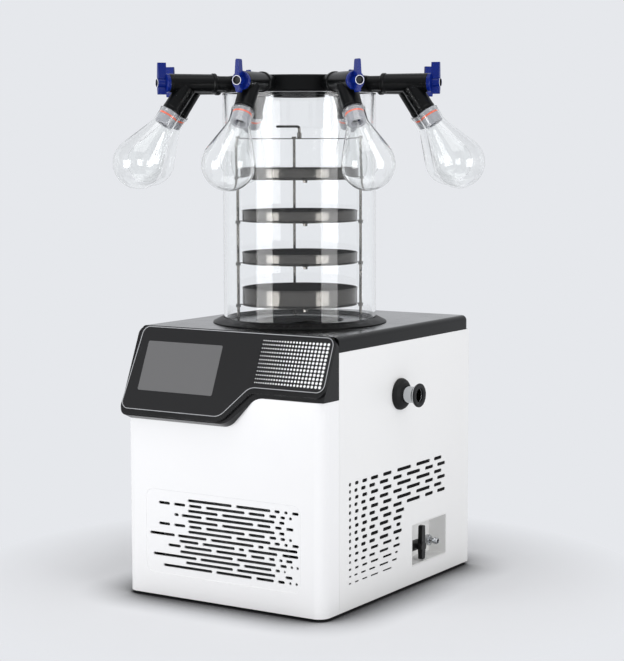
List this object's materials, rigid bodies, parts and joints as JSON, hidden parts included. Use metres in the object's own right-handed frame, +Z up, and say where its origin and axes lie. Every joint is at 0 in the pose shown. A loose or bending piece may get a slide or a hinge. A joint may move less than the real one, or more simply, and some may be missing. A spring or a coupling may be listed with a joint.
{
  "type": "freeze dryer",
  "caption": "Benchtop freeze dryer: cold-trap cabinet, clear chamber with shelf trays, and a hub with a ring of stopcocks and flasks.",
  "frame": {"origin": "on the bench under the axis of the vacuum chamber", "axes": "+Z up, -Y towards the operator in front of the screen, +X to the operator's right, the side with the vacuum port"},
  "size_m": [0.6512, 0.6512, 0.8925],
  "materials": {
    "pan_steel": "galvanised sheet",
    "rubber_black": "moulded rubber",
    "white_moulding": "satin white moulding",
    "white_panel": "white powder coat",
    "niche_white": "white powder coat",
    "dark_cover": "satin dark grey moulding",
    "housing_black": "semi-gloss black moulding",
    "bead_bright": "bright bead",
    "fascia_smoke": "smoked gloss sheet",
    "screen": "grey display glass, off",
    "lever_black": "black moulding",
    "nozzle_chrome": "polished",
    "hose_grey": "soft hose",
    "stainless": "brushed stainless",
    "copper": "copper tube and sheet",
    "foam": "closed-cell foam",
    "flange_black": "black anodised",
    "deck_black": "polished black",
    "acrylic": "clear acrylic",
    "seal_dark": "flat seal",
    "hub_black": "black moulding",
    "valve_rubber": "black rubber",
    "handle_blue": "blue moulding",
    "flask_glass": "clear glass",
    "silicone_grey": "translucent grey silicone",
    "ring_orange": "orange ring",
    "compressor_black": "black enamel",
    "condenser_alu": "fin stock",
    "shroud_black": "black coat",
    "fan_black": "black moulding",
    "inlet_black": "black moulding",
    "filter_black": "open-cell black foam"
  },
  "bodies": {
    "cabinet": {"base_pan": "pan_steel", "feet": "rubber_black", "front_moulding": "white_moulding", "side_panel_right": "white_panel", "side_panel_left": "white_panel", "vent_filters": "filter_black", "rear_panel": "white_panel", "top_cover": "dark_cover", "control_housing": "housing_black", "fascia_bead": "bead_bright", "fascia_panel": "fascia_smoke", "touch_screen": "screen", "drain_niche": "niche_white", "drain_valve_body": "lever_black", "drain_nozzle": "nozzle_chrome", "drain_hose": "hose_grey", "vacuum_port_tube": "stainless", "vacuum_port_ring": "rubber_black", "vacuum_port_boot": "rubber_black", "cold_trap_bucket": "stainless", "evaporator_jacket": "copper", "trap_insulation": "foam", "chamber_flange": "flange_black", "trap_deck": "deck_black", "chamber_cylinder": "acrylic", "chamber_seals": "seal_dark", "manifold_hub": "hub_black", "valve_bodies": "valve_rubber", "flask_1": "flask_glass", "flask_2": "flask_glass", "flask_3": "flask_glass", "flask_4": "flask_glass", "flask_5": "flask_glass", "flask_6": "flask_glass", "flask_7": "flask_glass", "flask_8": "flask_glass", "stoppers": "silicone_grey", "o_rings": "ring_orange", "tray_rack": "stainless", "tray_1": "stainless", "tray_2": "stainless", "tray_3": "stainless", "tray_4": "stainless", "compressor": "compressor_black", "condenser": "condenser_alu", "fan_shroud": "shroud_black", "fan_motor": "shroud_black", "power_inlet": "inlet_black"},
    "valve_1": {"valve_handle_1": "handle_blue"},
    "valve_2": {"valve_handle_2": "handle_blue"},
    "valve_3": {"valve_handle_3": "handle_blue"},
    "valve_4": {"valve_handle_4": "handle_blue"},
    "valve_5": {"valve_handle_5": "handle_blue"},
    "valve_6": {"valve_handle_6": "handle_blue"},
    "valve_7": {"valve_handle_7": "handle_blue"},
    "valve_8": {"valve_handle_8": "handle_blue"},
    "drain_lever_body": {"drain_lever": "lever_black"},
    "fan": {"condenser_fan": "fan_black"},
    "rocker": {"power_rocker": "inlet_black"}
  },
  "joints": [
    {"name": "valve_1_turn", "type": "hinge", "parent": "cabinet", "child": "valve_1", "pos_m": [0.04147, -0.23639, 0.859], "axis": [0.1728, -0.985, 0], "range_deg": [-90, 90]},
    {"name": "valve_2_turn", "type": "hinge", "parent": "cabinet", "child": "valve_2", "pos_m": [0.19648, -0.13783, 0.859], "axis": [0.8187, -0.5743, 0], "range_deg": [-90, 90]},
    {"name": "valve_3_turn", "type": "hinge", "parent": "cabinet", "child": "valve_3", "pos_m": [0.23639, 0.04147, 0.859], "axis": [0.985, 0.1728, 0], "range_deg": [-90, 90]},
    {"name": "valve_4_turn", "type": "hinge", "parent": "cabinet", "child": "valve_4", "pos_m": [0.13783, 0.19648, 0.859], "axis": [0.5743, 0.8187, 0], "range_deg": [-90, 90]},
    {"name": "valve_5_turn", "type": "hinge", "parent": "cabinet", "child": "valve_5", "pos_m": [-0.04147, 0.23639, 0.859], "axis": [-0.1728, 0.985, 0], "range_deg": [-90, 90]},
    {"name": "valve_6_turn", "type": "hinge", "parent": "cabinet", "child": "valve_6", "pos_m": [-0.19648, 0.13783, 0.859], "axis": [-0.8187, 0.5743, 0], "range_deg": [-90, 90]},
    {"name": "valve_7_turn", "type": "hinge", "parent": "cabinet", "child": "valve_7", "pos_m": [-0.23639, -0.04147, 0.859], "axis": [-0.985, -0.1728, 0], "range_deg": [-90, 90]},
    {"name": "valve_8_turn", "type": "hinge", "parent": "cabinet", "child": "valve_8", "pos_m": [-0.13783, -0.19648, 0.859], "axis": [-0.5743, -0.8187, 0], "range_deg": [-90, 90]},
    {"name": "drain_lever_turn", "type": "hinge", "parent": "cabinet", "child": "drain_lever_body", "pos_m": [0.19, 0.092, 0.062], "axis": [1, 0, 0], "range_deg": [0, 90]},
    {"name": "fan_spin", "type": "hinge", "parent": "cabinet", "child": "fan", "pos_m": [0, -0.178, 0.105], "axis": [0, 1, 0], "continuous": true},
    {"name": "rocker_tilt", "type": "hinge", "parent": "cabinet", "child": "rocker", "pos_m": [-0.13, 0.25, 0.108], "axis": [1, 0, 0], "range_deg": [0, 20]}
  ]
}
